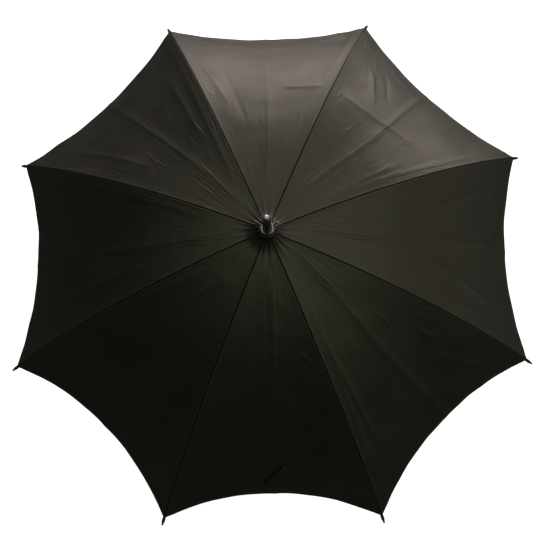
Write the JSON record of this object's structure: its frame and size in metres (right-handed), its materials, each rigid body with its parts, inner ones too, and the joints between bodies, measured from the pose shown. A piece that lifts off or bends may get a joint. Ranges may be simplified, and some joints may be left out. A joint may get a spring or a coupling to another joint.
{
  "type": "stick umbrella",
  "caption": "Stick umbrella with a crook handle, open: a dark cloth canopy on bowed steel ribs whose stretchers fold it down onto the shaft.",
  "frame": {"origin": "on the shaft's axis at the top of the handle's collar, where a hand or a holder takes the grip", "axes": "+Z along the shaft towards the ferrule, +X towards the open end of the crook and along rib 1, with the canopy open"},
  "size_m": [1.0558, 1.0558, 0.8838],
  "materials": {
    "canopy_cloth": "plain woven polyester, slight sheen",
    "tie_cloth": "the canopy's cloth, folded and stitched",
    "shaft_steel": "black enamel, satin",
    "rib_steel": "black enamel, satin",
    "stretcher_steel": "plated, satin",
    "bright_steel": "bright",
    "spring_steel": "rolled strip",
    "black_nylon": "moulded",
    "tip_plastic": "moulded",
    "ferrule_plastic": "moulded, glossy",
    "bright_chrome": "polished",
    "handle_wood": "steamed wood, dark stain, lacquered"
  },
  "bodies": {
    "root": {"shaft": "shaft_steel", "crown": "black_nylon", "crown_wire": "bright_steel", "crown_pin": "bright_steel", "crown_patch": "canopy_cloth", "ferrule_ring": "bright_chrome", "ferrule": "ferrule_plastic", "ferrule_point": "bright_chrome", "stop_pin": "bright_steel", "top_catch_pin": "bright_steel", "bottom_catch_pin": "bright_steel", "handle": "handle_wood", "handle_collar": "bright_chrome", "handle_cap": "bright_chrome"},
    "runner": {"runner": "black_nylon", "runner_wire": "bright_steel"},
    "top_catch": {"top_catch": "spring_steel"},
    "bottom_catch": {"bottom_catch": "spring_steel"},
    "rib_1": {"rib_1": "rib_steel", "rib_tip_1": "tip_plastic", "rivet_1": "bright_steel"},
    "rib_2": {"rib_2": "rib_steel", "rib_tip_2": "tip_plastic", "rivet_2": "bright_steel"},
    "rib_3": {"rib_3": "rib_steel", "rib_tip_3": "tip_plastic", "rivet_3": "bright_steel"},
    "rib_4": {"rib_4": "rib_steel", "rib_tip_4": "tip_plastic", "rivet_4": "bright_steel"},
    "rib_5": {"rib_5": "rib_steel", "rib_tip_5": "tip_plastic", "rivet_5": "bright_steel"},
    "rib_6": {"rib_6": "rib_steel", "rib_tip_6": "tip_plastic", "rivet_6": "bright_steel"},
    "rib_7": {"rib_7": "rib_steel", "rib_tip_7": "tip_plastic", "rivet_7": "bright_steel"},
    "rib_8": {"rib_8": "rib_steel", "rib_tip_8": "tip_plastic", "rivet_8": "bright_steel"},
    "stretcher_1": {"stretcher_1": "stretcher_steel"},
    "stretcher_2": {"stretcher_2": "stretcher_steel"},
    "stretcher_3": {"stretcher_3": "stretcher_steel"},
    "stretcher_4": {"stretcher_4": "stretcher_steel"},
    "stretcher_5": {"stretcher_5": "stretcher_steel"},
    "stretcher_6": {"stretcher_6": "stretcher_steel"},
    "stretcher_7": {"stretcher_7": "stretcher_steel"},
    "stretcher_8": {"stretcher_8": "stretcher_steel"},
    "gore_1": {"canopy_gore_1": "canopy_cloth"},
    "gore_2": {"canopy_gore_2": "canopy_cloth"},
    "gore_3": {"canopy_gore_3": "canopy_cloth"},
    "gore_4": {"canopy_gore_4": "canopy_cloth"},
    "gore_5": {"canopy_gore_5": "canopy_cloth"},
    "gore_6": {"canopy_gore_6": "canopy_cloth", "tie_strap": "tie_cloth", "tie_snap": "bright_chrome"},
    "gore_7": {"canopy_gore_7": "canopy_cloth"},
    "gore_8": {"canopy_gore_8": "canopy_cloth"}
  },
  "joints": [
    {"name": "canopy_fold", "type": "hinge", "parent": "root", "child": "rib_1", "pos_m": [0.009, 0, 0.65], "axis": [0, 1, 0], "range_deg": [0, 64], "deforming": ["canopy_gore_1", "canopy_gore_2", "canopy_gore_3", "canopy_gore_4", "canopy_gore_5", "canopy_gore_6", "canopy_gore_7", "canopy_gore_8", "tie_strap", "tie_snap", "top_catch", "bottom_catch"]},
    {"name": "rib_2_hinge", "type": "hinge", "parent": "root", "child": "rib_2", "pos_m": [0.00636, 0.00636, 0.65], "axis": [-0.7071, 0.7071, 0], "range_deg": [0, 64]},
    {"name": "rib_3_hinge", "type": "hinge", "parent": "root", "child": "rib_3", "pos_m": [0, 0.009, 0.65], "axis": [-1, 0, 0], "range_deg": [0, 64]},
    {"name": "rib_4_hinge", "type": "hinge", "parent": "root", "child": "rib_4", "pos_m": [-0.00636, 0.00636, 0.65], "axis": [-0.7071, -0.7071, 0], "range_deg": [0, 64]},
    {"name": "rib_5_hinge", "type": "hinge", "parent": "root", "child": "rib_5", "pos_m": [-0.009, 0, 0.65], "axis": [0, -1, 0], "range_deg": [0, 64]},
    {"name": "rib_6_hinge", "type": "hinge", "parent": "root", "child": "rib_6", "pos_m": [-0.00636, -0.00636, 0.65], "axis": [0.7071, -0.7071, 0], "range_deg": [0, 64]},
    {"name": "rib_7_hinge", "type": "hinge", "parent": "root", "child": "rib_7", "pos_m": [0, -0.009, 0.65], "axis": [1, 0, 0], "range_deg": [0, 64]},
    {"name": "rib_8_hinge", "type": "hinge", "parent": "root", "child": "rib_8", "pos_m": [0.00636, -0.00636, 0.65], "axis": [0.7071, 0.7071, 0], "range_deg": [0, 64]},
    {"name": "stretcher_1_hinge", "type": "hinge", "parent": "rib_1", "child": "stretcher_1", "pos_m": [0.30047, 0, 0.57897], "axis": [0, 1, 0], "range_deg": [-128, 0]},
    {"name": "stretcher_2_hinge", "type": "hinge", "parent": "rib_2", "child": "stretcher_2", "pos_m": [0.21246, 0.21246, 0.57897], "axis": [-0.7071, 0.7071, 0], "range_deg": [-128, 0]},
    {"name": "stretcher_3_hinge", "type": "hinge", "parent": "rib_3", "child": "stretcher_3", "pos_m": [0, 0.30047, 0.57897], "axis": [-1, 0, 0], "range_deg": [-128, 0]},
    {"name": "stretcher_4_hinge", "type": "hinge", "parent": "rib_4", "child": "stretcher_4", "pos_m": [-0.21246, 0.21246, 0.57897], "axis": [-0.7071, -0.7071, 0], "range_deg": [-128, 0]},
    {"name": "stretcher_5_hinge", "type": "hinge", "parent": "rib_5", "child": "stretcher_5", "pos_m": [-0.30047, 0, 0.57897], "axis": [0, -1, 0], "range_deg": [-128, 0]},
    {"name": "stretcher_6_hinge", "type": "hinge", "parent": "rib_6", "child": "stretcher_6", "pos_m": [-0.21246, -0.21246, 0.57897], "axis": [0.7071, -0.7071, 0], "range_deg": [-128, 0]},
    {"name": "stretcher_7_hinge", "type": "hinge", "parent": "rib_7", "child": "stretcher_7", "pos_m": [0, -0.30047, 0.57897], "axis": [1, 0, 0], "range_deg": [-128, 0]},
    {"name": "stretcher_8_hinge", "type": "hinge", "parent": "rib_8", "child": "stretcher_8", "pos_m": [0.21246, -0.21246, 0.57897], "axis": [0.7071, 0.7071, 0], "range_deg": [-128, 0]},
    {"name": "runner_hinge", "type": "hinge", "parent": "stretcher_1", "child": "runner", "pos_m": [0.009, 0, 0.50795], "axis": [0, 1, 0], "range_deg": [0, 64]},
    {"name": "gore_1_fold", "type": "hinge", "parent": "rib_1", "child": "gore_1", "pos_m": [0.009, 0.00373, 0.65], "axis": [-0.8001, -0.3314, -0.5], "range_deg": [0, 46.8]},
    {"name": "gore_2_fold", "type": "hinge", "parent": "rib_2", "child": "gore_2", "pos_m": [0.00373, 0.009, 0.65], "axis": [-0.3314, -0.8001, -0.5], "range_deg": [0, 46.8]},
    {"name": "gore_3_fold", "type": "hinge", "parent": "rib_3", "child": "gore_3", "pos_m": [-0.00373, 0.009, 0.65], "axis": [0.3314, -0.8001, -0.5], "range_deg": [0, 46.8]},
    {"name": "gore_4_fold", "type": "hinge", "parent": "rib_4", "child": "gore_4", "pos_m": [-0.009, 0.00373, 0.65], "axis": [0.8001, -0.3314, -0.5], "range_deg": [0, 46.8]},
    {"name": "gore_5_fold", "type": "hinge", "parent": "rib_5", "child": "gore_5", "pos_m": [-0.009, -0.00373, 0.65], "axis": [0.8001, 0.3314, -0.5], "range_deg": [0, 46.8]},
    {"name": "gore_6_fold", "type": "hinge", "parent": "rib_6", "child": "gore_6", "pos_m": [-0.00373, -0.009, 0.65], "axis": [0.3314, 0.8001, -0.5], "range_deg": [0, 46.8]},
    {"name": "gore_7_fold", "type": "hinge", "parent": "rib_7", "child": "gore_7", "pos_m": [0.00373, -0.009, 0.65], "axis": [-0.3314, 0.8001, -0.5], "range_deg": [0, 46.8]},
    {"name": "gore_8_fold", "type": "hinge", "parent": "rib_8", "child": "gore_8", "pos_m": [0.009, -0.00373, 0.65], "axis": [-0.8001, 0.3314, -0.5], "range_deg": [0, 46.8]},
    {"name": "top_catch_press", "type": "hinge", "parent": "root", "child": "top_catch", "pos_m": [0.002, 0, 0.42565], "axis": [0, 1, 0], "range_deg": [-6.5, 0], "stiffness_Nm_per_rad": 0.05},
    {"name": "bottom_catch_press", "type": "hinge", "parent": "root", "child": "bottom_catch", "pos_m": [0.002, 0, 0.06], "axis": [0, 1, 0], "range_deg": [0, 6.5], "stiffness_Nm_per_rad": 0.05}
  ],
  "couplings": [
    {"joint": "rib_2_hinge", "follows": "canopy_fold", "ratio": 1},
    {"joint": "rib_3_hinge", "follows": "canopy_fold", "ratio": 1},
    {"joint": "rib_4_hinge", "follows": "canopy_fold", "ratio": 1},
    {"joint": "rib_5_hinge", "follows": "canopy_fold", "ratio": 1},
    {"joint": "rib_6_hinge", "follows": "canopy_fold", "ratio": 1},
    {"joint": "rib_7_hinge", "follows": "canopy_fold", "ratio": 1},
    {"joint": "rib_8_hinge", "follows": "canopy_fold", "ratio": 1},
    {"joint": "stretcher_1_hinge", "follows": "canopy_fold", "ratio": -2},
    {"joint": "stretcher_2_hinge", "follows": "canopy_fold", "ratio": -2},
    {"joint": "stretcher_3_hinge", "follows": "canopy_fold", "ratio": -2},
    {"joint": "stretcher_4_hinge", "follows": "canopy_fold", "ratio": -2},
    {"joint": "stretcher_5_hinge", "follows": "canopy_fold", "ratio": -2},
    {"joint": "stretcher_6_hinge", "follows": "canopy_fold", "ratio": -2},
    {"joint": "stretcher_7_hinge", "follows": "canopy_fold", "ratio": -2},
    {"joint": "stretcher_8_hinge", "follows": "canopy_fold", "ratio": -2},
    {"joint": "runner_hinge", "follows": "canopy_fold", "ratio": 1},
    {"joint": "gore_1_fold", "follows": "canopy_fold", "ratio": 0.73127},
    {"joint": "gore_2_fold", "follows": "canopy_fold", "ratio": 0.73127},
    {"joint": "gore_3_fold", "follows": "canopy_fold", "ratio": 0.73127},
    {"joint": "gore_4_fold", "follows": "canopy_fold", "ratio": 0.73127},
    {"joint": "gore_5_fold", "follows": "canopy_fold", "ratio": 0.73127},
    {"joint": "gore_6_fold", "follows": "canopy_fold", "ratio": 0.73127},
    {"joint": "gore_7_fold", "follows": "canopy_fold", "ratio": 0.73127},
    {"joint": "gore_8_fold", "follows": "canopy_fold", "ratio": 0.73127}
  ]
}
